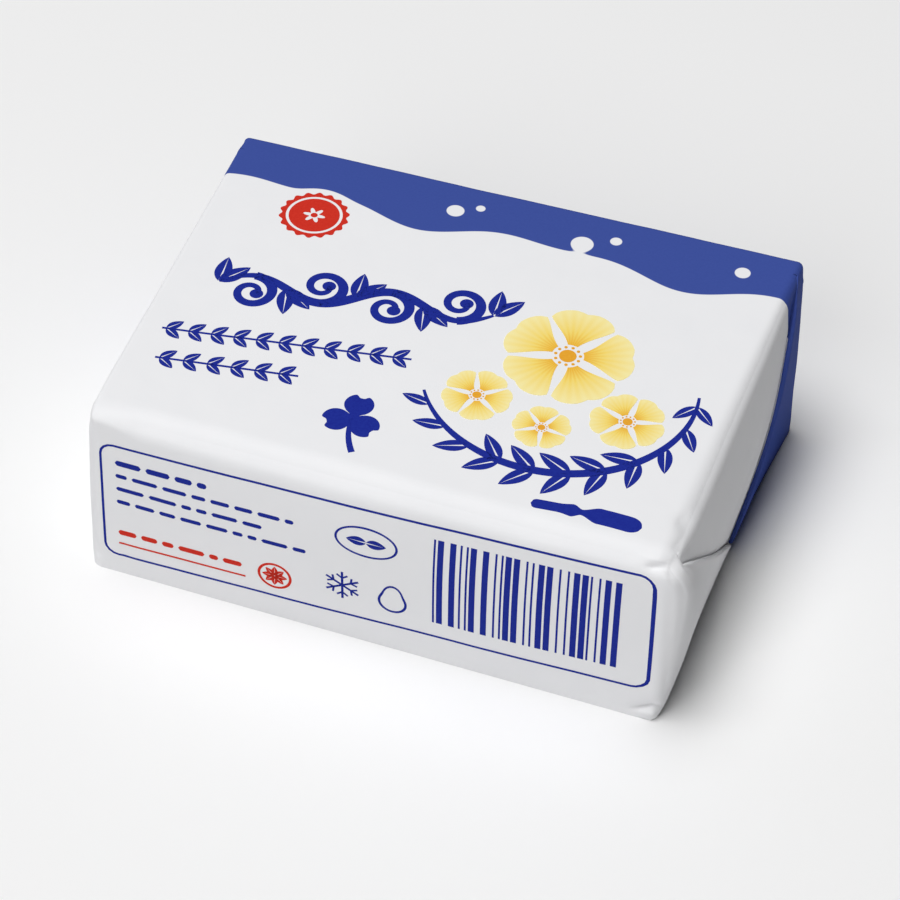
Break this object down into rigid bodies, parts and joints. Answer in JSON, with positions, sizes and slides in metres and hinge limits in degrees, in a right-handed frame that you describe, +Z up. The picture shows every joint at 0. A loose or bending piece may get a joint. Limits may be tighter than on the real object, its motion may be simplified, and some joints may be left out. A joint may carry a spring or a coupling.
{
  "type": "wrapped butter block",
  "caption": "Block of butter shut in a folded, printed paper wrapper: a flat brick with soft top edges and triangular folded ears on both ends.",
  "frame": {"origin": "middle of the underside", "axes": "+X along the length, to the right when the framed long side faces the viewer; +Y across the width, from that side to the back; +Z up"},
  "size_m": [0.1032, 0.077, 0.036],
  "materials": {
    "wrapper_paper": "coated paper, satin gloss, white with a printed blue field",
    "blue_print": "blue printing ink on coated paper, satin",
    "red_print": "red printing ink on coated paper, satin",
    "yellow_print": "yellow printing ink on coated paper, satin"
  },
  "bodies": {
    "root": {"wrapped_block": "wrapper_paper"}
  },
  "joints": []
}
